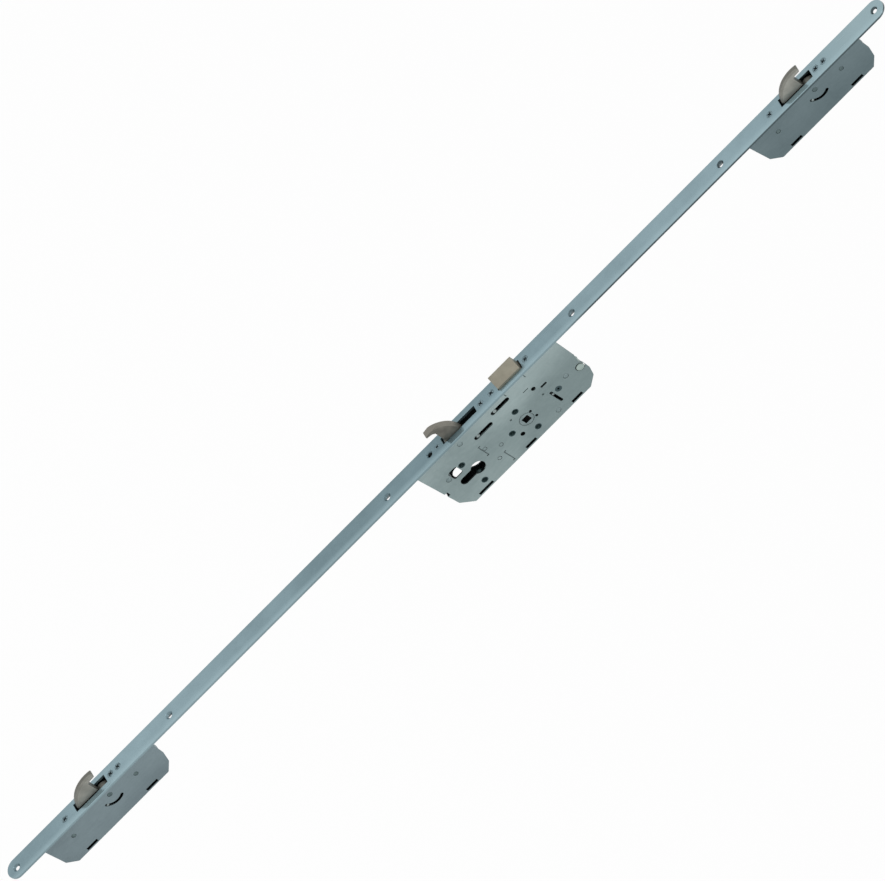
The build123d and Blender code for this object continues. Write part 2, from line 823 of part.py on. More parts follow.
def main_hook():
    """Main hook bolt with a bevelled back and a bore for its pivot."""
    back = ThreePointArc(*[main_hook_point(share) for share in main_hook_back_shares])
    body = across(main_hook_face(), hook_low, hook_high)
    body &= bevelled_disc(tuple(back.arc_center), back.radius)
    bore = disc(main_pivot_depth, main_pivot_height, pivot_radius + running_fit)
    return body - across(bore, hook_low - overrun, hook_high + overrun)


def rack_teeth():
    """Face of the rack's teeth on the drive slide's rear edge, meshing with the front gear."""
    pitch = math.pi * gear_module
    lean = math.tan(math.radians(gear_pressure_angle))
    half = (pitch - tooth_backlash) / 4
    root = rack_line - gear_module * tooth_dedendum_share
    tip = rack_line + gear_module * tooth_addendum_share
    wide = half + (rack_line - root) * lean
    narrow = half - (tip - rack_line) * lean
    teeth = Sketch()
    for number in range(-rack_teeth_below, rack_teeth_above):
        level = gear_height + (number + 1 / 2) * pitch
        teeth += outline([
            (root - side_gap, level - wide), (root, level - wide), (tip, level - narrow),
            (tip, level + narrow), (root, level + wide), (root - side_gap, level + wide),
        ])
    return teeth


def main_drive_slide():
    """Plate driven by the cylinder's gears: rack, pin holes, pivot slot and tabs into both drive rods."""
    root = rack_line - gear_module * tooth_dedendum_share
    top = main_foot_bottom + main_foot_height
    plate = strip(neck_front, neck_back, slide_front_top, top)
    plate += strip(rod_back, neck_back, main_foot_bottom, top)
    plate += strip(carrier_front, neck_back, slide_front_top, carrier_top)
    plate += strip(slide_front, root, slide_front_bottom, slide_front_top)
    plate += strip(rod_back, root, slide_bottom, slide_front_bottom)
    rack_top = gear_height + rack_teeth_above * math.pi * gear_module
    plate += strip(neck_front, root, slide_front_top, rack_top)
    for middle in (main_foot_bottom + main_foot_height / 2, low_tab_height):
        plate += strip(rod_front, neck_front, middle - tab_height / 2, middle + tab_height / 2)
    pivot_slot = upright_slot(
        main_pivot_depth, main_pivot_height - stroke - pivot_radius - side_gap,
        main_pivot_height + pivot_radius + side_gap, 2 * (pivot_radius + slide_gap),
    )
    holes = pivot_slot + disc(drive_pin_depth, drive_pin_height, drive_pin_radius + press_fit)
    for depth, height in ((slot_one_depth, slot_one_pin), (slot_two_depth, slot_two_pin)):
        holes += disc(depth, height, guide_pin_radius + press_fit)
    return across(plate + rack_teeth() - holes, slide_low, slide_high)


def rod_slot(height, bottom, top):
    """Slot of a drive rod round a fixed screw or stud, open where it runs past the rod's end."""
    low = height - stroke - rod_slot_width / 2
    high = height + rod_slot_width / 2
    if low < bottom:
        return front_slot(bottom - 2 * rod_slot_width, high, rod_slot_width)
    if high > top:
        return front_slot(low, top + 2 * rod_slot_width, rod_slot_width)
    return front_slot(low, high, rod_slot_width)


def drive_rod(bottom, top, fixed, tabs):
    """Flat drive rod with slots round the fixed screws and studs, and notches for the slides' tabs."""
    rod = inward(front_window(bottom, top, rod_width, free_gap), rod_front, rod_back)
    for height in fixed:
        rod -= inward(rod_slot(height, bottom, top), rod_front - overrun, rod_back + overrun)
    for middle in tabs:
        half = tab_height / 2 + press_fit
        notch = strip(rod_front - overrun, rod_back + overrun, middle - half, middle + half)
        rod -= across(notch, -rod_half - overrun, slide_high + press_fit)
    return rod


def upper_rod():
    """Drive rod from the main case to the upper hook case."""
    outer, inner = upper_hole_heights
    fixed = [main_screw_heights[0], inner, outer, *guide_heights(inner, outer, upper_guide_shares)]
    fixed.append(upper_pivot_height + hook_screw_offsets[-1])
    tabs = (main_foot_bottom + main_foot_height / 2, upper_pivot_height - foot_below_pivot - foot_height / 2)
    return drive_rod(upper_rod_end, upper_pivot_height - rod_end_below_pivot, fixed, tabs)


def lower_rod():
    """Drive rod from the main case to the lower hook case."""
    inner, outer = lower_hole_heights
    fixed = [cylinder_screw_height, inner, outer, *guide_heights(inner, outer, lower_guide_shares)]
    fixed += [lower_pivot_height + offset for offset in hook_screw_offsets[:2]]
    tabs = (low_tab_height, lower_pivot_height + foot_above_pivot + foot_height / 2)
    return drive_rod(lower_pivot_height + rod_end_above_pivot, lower_rod_end, fixed, tabs)


def hook_slide(pivot, foot_bottom):
    """Slide of a hook case: a yoke for the hook's pin, a neck and a foot with a tab into the rod."""
    yoke_middle = pivot + hook_pin_offset - yoke_shift
    yoke_half = hook_pin_radius + yoke_play / 2
    reach = yoke_half + yoke_wall
    plate = strip(yoke_front, yoke_back, yoke_middle - reach, yoke_middle + reach)
    foot_middle = pivot + foot_bottom + foot_height / 2
    plate += strip(rod_back, yoke_back, foot_middle - foot_height / 2, foot_middle + foot_height / 2)
    plate += strip(rod_front, yoke_back, foot_middle - tab_height / 2, foot_middle + tab_height / 2)
    plate += strip(hook_neck_front, yoke_back, min(yoke_middle, foot_middle), max(yoke_middle, foot_middle))
    slot = level_slot(
        yoke_middle, hook_pin_depth - hook_pin_radius - side_gap,
        hook_pivot_depth + hook_pin_orbit + hook_pin_radius + side_gap, 2 * yoke_half,
    )
    return across(plate - slot, slide_low, slide_high)


def latch_bolt():
    """Latch bolt: a head with one bevelled side, its back end behind the faceplate."""
    half = latch_width / 2
    points = [
        (-half, -latch_reach), (latch_tip_flat - half, -latch_reach), (half, -latch_short_side),
        (half, latch_body_back), (-half, latch_body_back),
    ]
    face = make_face(Polyline(*[(x, depth - backset) for x, depth in points], close=True))
    return extrude(Plane.XY.offset(latch_bottom) * face, latch_height)


def latch_carriage():
    """Tail of the latch: a bar past the follower, with a lug that the follower's finger pulls."""
    bar = strip(latch_body_back, lug_back, carriage_low, carriage_high)
    lug = strip(finger_contact, lug_back, carriage_lug_bottom, carriage_high)
    body = across(bar + lug, -carriage_thickness / 2, carriage_thickness / 2)
    hole = latch_pin_radius + press_fit
    return body - cross_pin(latch_pin_depth, carriage_middle, hole, 0, carriage_thickness)


def latch_guide_block():
    """Block that guides the latch's tail and seats the latch spring."""
    back = guide_block_front + guide_block_thickness
    block = strip(guide_block_front, back, guide_block_below, carriage_high + guide_block_above)
    low, high = carriage_low - slide_gap, carriage_high + slide_gap
    window = strip(guide_block_front - overrun, back + overrun, low, high)
    half = carriage_thickness / 2 + slide_gap
    return across(block, -inner_half, inner_half) - across(window, -half, half)


def handle_follower():
    """Follower with a square hole for the spindle, a journal at each side and a finger for the latch."""
    hub = cross_pin(backset, 0, follower_radius, slide_gap - inner_half, inner_half - follower_step)
    hub += cross_pin(backset, 0, follower_collar, 0, inner_half - slide_gap)
    journals = cross_pin(backset, 0, journal_radius, -case_half, case_half)
    finger = upright_slot(backset, 0, finger_height + finger_width / 2, finger_width)
    body = hub + journals + across(finger, -carriage_thickness / 2, carriage_thickness / 2)
    side = spindle_square + 2 * spindle_clearance
    square = Pos(*at(backset, 0)) * Rectangle(side, side)
    return body - across(square, -case_half - overrun, case_half + overrun)


def tooth_half_angle(teeth, radius):
    """Half of the angle that one tooth takes at a radius, from an involute flank."""
    pitch_radius = gear_module * teeth / 2
    pressure = math.radians(gear_pressure_angle)
    base = pitch_radius * math.cos(pressure)
    here = math.acos(min(1, base / radius))
    at_pitch = (math.pi * gear_module - tooth_backlash) / (4 * pitch_radius)
    return at_pitch + math.tan(pressure) - pressure - math.tan(here) + here


def gear_face(teeth, depth, height, tooth_angle):
    """Face of a spur gear with one tooth at the given angle, bored for its axle."""
    pitch_radius = gear_module * teeth / 2
    root = pitch_radius - gear_module * tooth_dedendum_share
    tip = pitch_radius + gear_module * tooth_addendum_share
    base = pitch_radius * math.cos(math.radians(gear_pressure_angle))
    radii = (root, base, pitch_radius, tip)
    flank = [(radius, tooth_half_angle(teeth, radius)) for radius in radii]
    corners = [(radius, -angle) for radius, angle in flank]
    corners += [(radius, angle) for radius, angle in reversed(flank)]
    points = []
    for number in range(teeth):
        middle = math.radians(tooth_angle) + 2 * math.pi * number / teeth
        turned = [(radius, middle + turn) for radius, turn in corners]
        points += [(radius * math.cos(angle), radius * math.sin(angle)) for radius, angle in turned]
    face = make_face(Polyline(*points, close=True))
    return Pos(*at(depth, height)) * (face - Circle(axle_radius + running_fit))


def meshing_angle(teeth, tooth_angle, direction, next_teeth):
    """Tooth angle of the next gear, which lies in the given direction from this one."""
    share = (direction - tooth_angle) * teeth / 360
    return direction + 180 - (1 / 2 - share) * 360 / next_teeth


def gears():
    """Front and rear cylinder gears and the idler that joins them, each at its meshing angle."""
    climb = math.degrees(math.atan2(idler_rise, gear_spread / 2))
    front_angle = 180
    idler_angle = meshing_angle(gear_teeth, front_angle, climb, idler_teeth)
    rear_angle = meshing_angle(idler_teeth, idler_angle, -climb, gear_teeth)
    places = gear_places()
    shapes = {}
    for (name, depth, height), teeth, angle in zip(
        places, (gear_teeth, gear_teeth, idler_teeth), (front_angle, rear_angle, idler_angle)
    ):
        shapes[name] = across(gear_face(teeth, depth, height, angle), slide_low, gear_high)
    return shapes


def gear_places():
    """Names and places of the three gears."""
    return (
        ("front_cylinder_gear", backset - gear_spread / 2, gear_height),
        ("rear_cylinder_gear", backset + gear_spread / 2, gear_height),
        ("idler_gear", backset, gear_height + idler_rise),
    )


def gear_axle(depth, height):
    """Riveted axle of a gear, with a collar that keeps the gear beside the tray."""
    collar = cross_pin(depth, height, axle_collar, gear_high + slide_gap, inner_half)
    return headed_pin(depth, height, axle_radius) + collar


def rose_bush(depth, height):
    """Bush through the case for a rose or long-plate screw."""
    return cross_pin(depth, height, rose_bush_radius, -case_half, case_half) - cross_pin(
        depth, height, rose_bore, -case_half - overrun, case_half + overrun
    )


def spring(front, back, height, radius, wire, turns):
    """Helical compression spring along the door's depth, between two seats."""
    length = back - front - 2 * wire
    plane = Plane((0, front + wire - backset, height), x_dir=(1, 0, 0), z_dir=(0, 1, 0))
    path = plane * Helix(length / turns, length, radius)
    section = Plane(path @ 0, z_dir=path % 0) * RegularPolygon(wire / 2, wire_sides)
    return sweep(section, path=path, is_frenet=True)


def pieces():
    """Every node's name with its shape."""
    pivots = (upper_pivot_height, lower_pivot_height)
    upper, lower = pivots
    shapes = {
        "faceplate": faceplate(),
        "main_case_tray": main_case_tray(),
        "main_case_cover": main_case_cover(),
        "upper_case_tray": hook_case_tray(upper, upper - hook_case_below),
        "upper_case_cover": hook_case_cover(upper),
        "lower_case_tray": hook_case_tray(lower, lower + hook_case_above - hook_tray_inset),
        "lower_case_cover": hook_case_cover(lower),
    }
    shapes.update(moving_pieces(upper, lower))
    shapes.update(fixings(pivots))
    shapes.update(gears())
    return shapes


def moving_pieces(upper, lower):
    """Hooks, drive parts, latch, follower and springs."""
    return {
        "main_drive_slide": main_drive_slide(),
        "upper_rod": upper_rod(),
        "lower_rod": lower_rod(),
        "upper_drive_slide": hook_slide(upper, -foot_below_pivot - foot_height),
        "lower_drive_slide": hook_slide(lower, foot_above_pivot),
        "drive_guide_pins": Compound([
            cross_pin(slot_one_depth, slot_one_pin, guide_pin_radius, slide_low, pin_end),
            cross_pin(slot_two_depth, slot_two_pin, guide_pin_radius, slide_low, pin_end),
        ]),
        "main_hook_drive_pin": cross_pin(
            drive_pin_depth, drive_pin_height, drive_pin_radius, slide_low, hook_high + overrun
        ),
        "main_hook": main_hook(),
        "upper_hook": hook(upper),
        "lower_hook": hook(lower),
        "upper_hook_drive_pin": hook_drive_pin(upper, slide_low, pin_end),
        "lower_hook_drive_pin": hook_drive_pin(lower, slide_low, pin_end),
        "latch_bolt": latch_bolt(),
        "latch_carriage": latch_carriage(),
        "latch_guide_pin": cross_pin(latch_pin_depth, carriage_middle, latch_pin_radius, 0, pin_end),
        "latch_guide_block": latch_guide_block(),
        "handle_follower": handle_follower(),
        "latch_spring": spring(
            latch_body_back + slide_gap, guide_block_front - slide_gap, latch_spring_height,
            latch_spring_radius, latch_spring_wire, latch_spring_turns,
        ),
        "handle_return_spring": spring(
            lug_back + slide_gap, main_case_back - sheet - slide_gap, return_spring_height,
            return_spring_radius, return_spring_wire, return_spring_turns,
        ),
    }


def fixings(pivots):
    """Rivets, pins, axles, bushes, blocks, screws and studs that stay with the cases."""
    screws = [
        countersunk_screw(height, screw_radius, screw_head_radius, screw_length)
        for height in screw_heights()
    ]
    main_rivets = [
        rivet(depth, height, rivet_radius, rivet_shoulder)
        for depth, height in main_rivet_places()
    ]
    hook_rivets = [
        rivet(depth, height, hook_rivet_radius, hook_rivet_shoulder)
        for pivot in pivots
        for depth, height in hook_rivet_places(pivot)
    ]
    hook_blocks = []
    for pivot in pivots:
        hook_blocks.append(screw_block([pivot + offset for offset in hook_screw_offsets[:2]], -inner_half))
        hook_blocks.append(screw_block([pivot + hook_screw_offsets[2]], -inner_half))
    main_blocks = [
        screw_block(heights, -inner_half)
        for heights in (main_screw_heights[:1], main_screw_heights[1:])
    ]
    return {
        "main_case_rivets": Compound(main_rivets),
        "hook_case_rivets": Compound(hook_rivets),
        "case_top_stud": top_stud(),
        "main_screw_blocks": Compound(main_blocks + [small_screw_block()]),
        "hook_screw_blocks": Compound(hook_blocks),
        "case_screws": Compound(screws),
        "small_case_screw": countersunk_screw(
            small_screw_height, small_screw_radius, small_screw_head_radius, screw_length
        ),
        "rod_guide_studs": rod_guide_studs(),
        "rose_bushes": Compound([rose_bush(depth, height) for depth, height in bush_places()]),
        "ring_bush": ring_bush(),
        "main_hook_pivot_pin": pivot_pin(main_pivot_depth, main_pivot_height),
        "upper_hook_pivot_pin": pivot_pin(hook_pivot_depth, pivots[0]),
        "lower_hook_pivot_pin": pivot_pin(hook_pivot_depth, pivots[1]),
        "gear_axles": Compound([gear_axle(depth, height) for name, depth, height in gear_places()]),
    }


os.makedirs("parts", exist_ok=True)
for node, shape in pieces().items():
    save(node, shape)
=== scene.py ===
import math

import bmesh
import bpy
from mathutils import Matrix, Vector


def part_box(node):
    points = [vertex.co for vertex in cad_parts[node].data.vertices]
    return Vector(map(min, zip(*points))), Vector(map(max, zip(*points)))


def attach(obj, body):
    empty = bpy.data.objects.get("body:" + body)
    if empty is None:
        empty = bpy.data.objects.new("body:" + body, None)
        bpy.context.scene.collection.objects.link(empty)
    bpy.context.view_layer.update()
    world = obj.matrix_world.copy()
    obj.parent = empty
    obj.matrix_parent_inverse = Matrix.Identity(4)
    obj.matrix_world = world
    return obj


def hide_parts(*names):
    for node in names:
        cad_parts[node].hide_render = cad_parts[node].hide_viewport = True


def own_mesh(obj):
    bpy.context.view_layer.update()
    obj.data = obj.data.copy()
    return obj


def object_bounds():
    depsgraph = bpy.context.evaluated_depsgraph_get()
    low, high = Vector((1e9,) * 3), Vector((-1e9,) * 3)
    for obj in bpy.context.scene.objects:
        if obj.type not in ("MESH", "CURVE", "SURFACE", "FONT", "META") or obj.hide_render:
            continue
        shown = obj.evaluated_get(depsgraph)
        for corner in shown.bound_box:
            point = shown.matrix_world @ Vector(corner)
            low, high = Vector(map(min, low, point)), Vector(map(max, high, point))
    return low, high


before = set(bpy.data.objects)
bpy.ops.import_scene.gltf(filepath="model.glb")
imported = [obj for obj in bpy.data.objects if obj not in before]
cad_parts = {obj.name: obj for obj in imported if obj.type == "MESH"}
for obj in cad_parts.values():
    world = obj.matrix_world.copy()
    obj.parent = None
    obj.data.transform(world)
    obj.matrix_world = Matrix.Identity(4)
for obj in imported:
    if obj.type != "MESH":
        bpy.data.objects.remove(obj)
cad_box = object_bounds()

# Millimetres, as the lock's drawing gives its sizes, and the faceplate's front to the spindle's axis
MM = 0.001
BACKSET = 55 * MM


def depth(millimetres):
    """Y of a place so many millimetres behind the faceplate's front."""
    return millimetres * MM - BACKSET


# Camera: a long lens at the photograph's angle, rolled so that the lock leans to the right
VIEW_AZIMUTH = math.radians(45.7)
VIEW_ELEVATION = math.radians(14.0)
VIEW_ROLL = math.radians(-45.0)
VIEW_TARGET = Vector((0.0, -55.6, -70.4)) * MM
PICTURE_WIDTH = 904 * MM
LENS = 1500.0
SENSOR = 36.0
CLIP_START = 0.1
CLIP_END = 90

# Lamps beside the camera: name, metres towards it, to the right and up from the target, size, watts
CAMERA_LAMPS = (
    ("key_lamp", 2.2, -1.2, 1.6, 2.4, 26),
    ("fill_lamp", 1.2, 2.2, -0.4, 2.4, 14),
)
BACK_LAMP_OFFSET = Vector((0.6, 2.2, 1.4))
BACK_LAMP_SIZE = 2.0
BACK_LAMP_WATTS = 16
WORLD_LEVEL = 0.55

# Floor: how far it lies under the lock, half its width in metres and its share of plain white
FLOOR_DROP = 420 * MM
FLOOR_SIZE = 9.0
FLOOR_GLOW = 0.97
FLOOR_GREY = 0.9

# Faceplate: where its slow wave of tone has a crest, how long a wave is, and how many fit each way
TONE_CREST = 270 * MM
TONE_LENGTH = 800 * MM
TONE_WAVES = 4

# Bands across which the tone of a surface changes, each from its start to its end; all but the bush rim
# carry painted light or painted shade
FACEPLATE_TIP_HIGHLIGHT = (430 * MM, 540 * MM)
FACEPLATE_SIDE_SHEEN = (4.5 * MM, 10.5 * MM)
FACEPLATE_EDGE_SHADE = (depth(0.4), depth(0.8))
FACEPLATE_EDGE_SHADE_HEIGHTS = (100 * MM, 140 * MM)
CASE_FRONT_LIGHT = (depth(4), depth(40))
CASE_BACK_SHADE = (depth(24), depth(44))
MARK_FLOOR_SHADE = (7.1 * MM, 7.3 * MM)
MARK_RIM_SHADE = (7.7 * MM, 7.9 * MM)
BUSH_RIM = (7.2 * MM, 7.9 * MM)
BEHIND_FACEPLATE = (depth(-0.1), depth(0.3))
RECESS_PAINTED_SHADE = (depth(0.45), depth(0.9))

# The same, measured from a case's middle, a hook's jaw and a surface that faces sideways; all carry painted
# light or painted shade
CASE_TOP_LIGHT = (-30 * MM, 60 * MM)
CASE_TOP_SHADE = (-60 * MM, 60 * MM)
JAW_EDGE = (-0.3 * MM, 0.3 * MM)
FACING_EDGE = (-0.5 * MM, 0.5 * MM)

# Hook pivots above and below the spindle, and the floor of each jaw, measured from its pivot
HOOK_PIVOTS = (465.2 * MM, -584.3 * MM)
HOOK_JAW_FLOOR = -4.0 * MM

# Case screws: heights in the faceplate, radii of head and shank
HOOK_SCREW_OFFSETS = (27.7 * MM, 16.6 * MM, -51.2 * MM)
SCREW_HEIGHTS = [51.3 * MM, 0.7 * MM, -15.0 * MM]
SCREW_HEIGHTS += [pivot + offset for pivot in HOOK_PIVOTS for offset in HOOK_SCREW_OFFSETS]
SCREW_RADIUS = 4.3 * MM
SCREW_SHANK = 2.0 * MM
SMALL_SCREW_HEIGHTS = (-79.3 * MM,)
SMALL_SCREW_RADIUS = 3.1 * MM
SMALL_SCREW_SHANK = 1.5 * MM

# Screw heads: face from the middle out, as shares of the radius and places behind the rim
HEAD_RIM = depth(0.32)
HEAD_FACE = (
    (0.0, -0.22 * MM), (0.55, -0.18 * MM), (0.9, 0.0), (0.97, 0.12 * MM), (0.94, 0.3 * MM),
)
SHANK_STRAIGHT = 7 * MM
SHANK_LENGTH = 8 * MM
SHANK_POINT_SHARE = 0.7
HEAD_SEGMENTS = 48
WELD_DISTANCE = 0.001 * MM

# Cross recess: arm length and width as shares of the head's radius, cut and taper towards its floor
RECESS_LENGTH_SHARE = 1.5
RECESS_WIDTH_SHARE = 0.4
RECESS_CUT = 2.8 * MM
RECESS_MIDDLE = depth(0.4)
RECESS_TAPER = (0.55, 1.0, 0.7)
RECESS_TURNS = (45, 135)

# Springs inside the main case
SPRING_RADIUS = 3.3 * MM
WIRE_SIDES = 10
STEPS_PER_TURN = 20


def srgb(red, green, blue):
    """Linear colour from display levels between 0 and 255."""
    def linear(level):
        share = level / 255
        return share / 12.92 if share <= 0.04045 else ((share + 0.055) / 1.055) ** 2.4
    return linear(red), linear(green), linear(blue), 1.0


class Finish:
    """A node material that reads Object coordinates, built up step by step."""

    def __init__(self, name):
        self.material = bpy.data.materials.new(name)
        self.material.use_nodes = True
        self.tree = self.material.node_tree
        self.shader = self.tree.nodes["Principled BSDF"]
        spot = self.tree.nodes.new("ShaderNodeTexCoord")
        self.place = spot.outputs["Object"]
        self.normal = spot.outputs["Normal"]

    def link(self, source, target):
        self.tree.links.new(source, target)

    def noise(self, scale, stretch=(1, 1, 1), detail=3.0, roughness=0.5):
        """Noise of so many waves per metre, stretched along an axis by a share below 1."""
        mapping = self.tree.nodes.new("ShaderNodeMapping")
        mapping.inputs["Scale"].default_value = stretch
        self.link(self.place, mapping.inputs["Vector"])
        texture = self.tree.nodes.new("ShaderNodeTexNoise")
        texture.inputs["Scale"].default_value = scale
        texture.inputs["Detail"].default_value = detail
        texture.inputs["Roughness"].default_value = roughness
        self.link(mapping.outputs["Vector"], texture.inputs["Vector"])
        return texture.outputs["Fac"]

    def ramp(self, value, stops):
        """Colour ramp over a value, from (position, colour) stops."""
        node = self.tree.nodes.new("ShaderNodeValToRGB")
        points = node.color_ramp.elements
        while len(points) < len(stops):
            points.new(1.0)
        for point, (position, colour) in zip(points, stops):
            point.position = position
            point.color = colour
        self.link(value, node.inputs["Fac"])
        return node.outputs["Color"]

    def spread(self, value, low, high, out_low, out_high):
        """Value mapped from one range to another, clamped at its ends."""
        node = self.tree.nodes.new("ShaderNodeMapRange")
        ends = {"From Min": low, "From Max": high, "To Min": out_low, "To Max": out_high}
        for name, number in ends.items():
            node.inputs[name].default_value = number
        self.link(value, node.inputs["Value"])
        return node.outputs["Result"]

    def blend(self, share, first, second):
        """Two colours mixed by a share, which is a number or a socket."""
        node = self.tree.nodes.new("ShaderNodeMix")
        node.data_type = "RGBA"
        sockets = (node.inputs["Factor"], node.inputs[6], node.inputs[7])
        for socket, value in zip(sockets, (share, first, second)):
            if isinstance(value, bpy.types.NodeSocket):
                self.link(value, socket)
            else:
                socket.default_value = value
        return node.outputs[2]

    def reckon(self, operation, *values):
        """Result of a math node on one or two numbers."""
        node = self.tree.nodes.new("ShaderNodeMath")
        node.operation = operation
        for value, socket in zip(values, node.inputs):
            self.link(value, socket)
        return node.outputs["Value"]

    def split(self, vector, name):
        """One of the X, Y and Z parts of a vector."""
        node = self.tree.nodes.new("ShaderNodeSeparateXYZ")
        self.link(vector, node.inputs["Vector"])
        return node.outputs[name]

    def along(self, axis, band, start, end, origin=0.0):
        """Share that goes from one value to another across a band of X, Y or Z."""
        low, high = band
        return self.spread(self.split(self.place, axis), origin + low, origin + high, start, end)

    def wave(self, axis, crest, length):
        """Slow wave between -1 and 1 along an axis, with one crest at the given place."""
        reach = TONE_WAVES * length
        turns = TONE_WAVES * 2 * math.pi
        return self.reckon("COSINE", self.along(axis, (-reach, reach), -turns, turns, crest))

    def product(self, first, second):
        """Two shares multiplied."""
        return self.reckon("MULTIPLY", first, second)

    def inside(self, centre):
        """One on the surfaces that face the centre of a piece, zero on those that face away."""
        outward = self.tree.nodes.new("ShaderNodeVectorMath")
        outward.operation = "SUBTRACT"
        self.link(self.place, outward.inputs[0])
        outward.inputs[1].default_value = centre
        facing = self.tree.nodes.new("ShaderNodeVectorMath")
        facing.operation = "DOT_PRODUCT"
        self.link(outward.outputs["Vector"], facing.inputs[0])
        self.link(self.normal, facing.inputs[1])
        return self.spread(facing.outputs["Value"], *FACING_EDGE, 1.0, 0.0)

    def bump(self, height, relief):
        """Fine relief of so many metres from a height value."""
        node = self.tree.nodes.new("ShaderNodeBump")
        node.inputs["Distance"].default_value = relief
        self.link(height, node.inputs["Height"])
        self.link(node.outputs["Normal"], self.shader.inputs["Normal"])

    def set(self, name, value):
        """A number, colour or socket on the shader."""
        if isinstance(value, bpy.types.NodeSocket):
            self.link(value, self.shader.inputs[name])
        else:
            self.shader.inputs[name].default_value = value


def zinc_sheet(name, light, dark, gloss=0.42, grain_stretch=(1.0, 1.0, 0.03), grain_share=0.2):
    """Blue zinc-plated sheet: cloudy tone, rolled grain along the strip and a faint spangle."""
    finish = Finish(name)
    cloud = finish.noise(14, detail=5.0, roughness=0.6)
    grain = finish.noise(460, grain_stretch, detail=5.0, roughness=0.62)
    spangle = finish.noise(210, detail=2.0)
    tone = finish.ramp(cloud, ((0.34, dark), (0.66, light)))
    tone = finish.blend(finish.spread(grain, 0.38, 0.66, 0.0, grain_share), tone, dark)
    tone = finish.blend(finish.spread(spangle, 0.46, 0.62, 0.0, 0.15), tone, light)
    finish.set("Metallic", 0.8)
    finish.set("Roughness", finish.spread(grain, 0.3, 0.7, gloss - 0.05, gloss + 0.08))
    finish.bump(grain, 0.02 * MM)
    return finish, tone


def faceplate_zinc():
    """Faceplate: satin strip with slow changes of tone, a painted reflection in a lighter band, a painted
    highlight at its tip and painted shade on its cut edges, strongest near the top.
    """
    finish, tone = zinc_sheet("faceplate_zinc", srgb(146, 172, 180), srgb(118, 142, 150), 0.2)
    slow = finish.wave("Z", TONE_CREST, TONE_LENGTH)
    tone = finish.blend(finish.spread(slow, -1, 1, 0.5, 0.0), tone, srgb(96, 119, 126))
    tone = finish.blend(finish.spread(slow, -1, 1, 0.0, 0.35), tone, srgb(152, 176, 184))
    # Painted highlight: the top end of the faceplate lighter
    tip = finish.along("Z", FACEPLATE_TIP_HIGHLIGHT, 0.0, 0.75)
    tone = finish.blend(tip, tone, srgb(160, 184, 190))
    # Painted reflection: a lighter band towards the faceplate's outer edge
    side = finish.along("X", FACEPLATE_SIDE_SHEEN, 0.0, 0.4)
    tone = finish.blend(side, tone, srgb(172, 198, 205))
    # Painted shade: the cut edges behind the front darkened, more so above the main case
    edge = finish.along("Y", FACEPLATE_EDGE_SHADE, 0.0, 0.85)
    upper = finish.along("Z", FACEPLATE_EDGE_SHADE_HEIGHTS, 0.35, 1.0)
    finish.set("Base Color", finish.blend(finish.product(edge, upper), tone, srgb(34, 47, 51)))
    finish.set("Metallic", 0.6)
    return finish.material


def case_zinc(name, centre, light, dark, shade):
    """Case sheet: dull grey-green plate, painted light at its upper front, painted shade towards its back
    and in its pressed marks, and painted shade on the surfaces that face inwards.
    """
    finish, tone = zinc_sheet(name, light, dark, 0.5, (1.0, 0.8, 0.2), 0.1)
    # Painted light: the upper front of the case lighter
    front = finish.along("Y", CASE_FRONT_LIGHT, 0.85, 0.0)
    high = finish.along("Z", CASE_TOP_LIGHT, 0.35, 1.0, centre[2])
    tone = finish.blend(finish.product(front, high), tone, light)
    # Painted shade: the case darker towards its back, more so higher up
    low = finish.along("Z", CASE_TOP_SHADE, 0.25, 0.6, centre[2])
    back = finish.along("Y", CASE_BACK_SHADE, 0.0, 1.0)
    tone = finish.blend(finish.product(back, low), tone, shade)
    # Painted shade in the grooves of the pressed marks
    under = finish.along("X", MARK_RIM_SHADE, 0.6, 0.0)
    above = finish.along("X", MARK_FLOOR_SHADE, 0.0, 1.0)
    tone = finish.blend(finish.product(under, above), tone, srgb(62, 75, 76))
    # Painted shade on the surfaces that face the case's middle, inside it
    finish.set("Base Color", finish.blend(finish.inside(centre), tone, srgb(30, 38, 40)))
    return finish.material


def satin_nickel(name, light, dark, shade, painted_shade_below=None):
    """Satin nickel over a blanked bolt: soft mottling, fine pits, painted light and shade on rims that turn
    from the flat face, and painted shade on the part behind the faceplate.
    """
    finish = Finish(name)
    cloud = finish.noise(90, detail=3.0)
    pits = finish.noise(1400, detail=2.0)
    tone = finish.ramp(cloud, ((0.32, dark), (0.68, light)))
    tone = finish.blend(finish.spread(pits, 0.3, 0.42, 0.3, 0.0), tone, dark)
    # Painted light and shade on rims that turn from the flat face: darker on the latch and outer hooks,
    # lighter on the main hook
    flat = finish.reckon("ABSOLUTE", finish.split(finish.normal, "X"))
    tone = finish.blend(finish.spread(flat, 0.3, 0.98, 0.7, 0.0), tone, shade)
    if painted_shade_below is not None:
        # Painted shade: near black on the hook behind the faceplate's front, below its jaw
        deep = finish.along("Y", BEHIND_FACEPLATE, 0.0, 1.0)
        low = finish.along("Z", JAW_EDGE, 1.0, 0.0, painted_shade_below)
        tone = finish.blend(finish.product(deep, low), tone, srgb(16, 20, 20))
    finish.set("Base Color", tone)
    finish.set("Metallic", 0.45)
    finish.set("Roughness", finish.spread(cloud, 0.3, 0.7, 0.38, 0.5))
    finish.bump(pits, 0.03 * MM)
    return finish.material


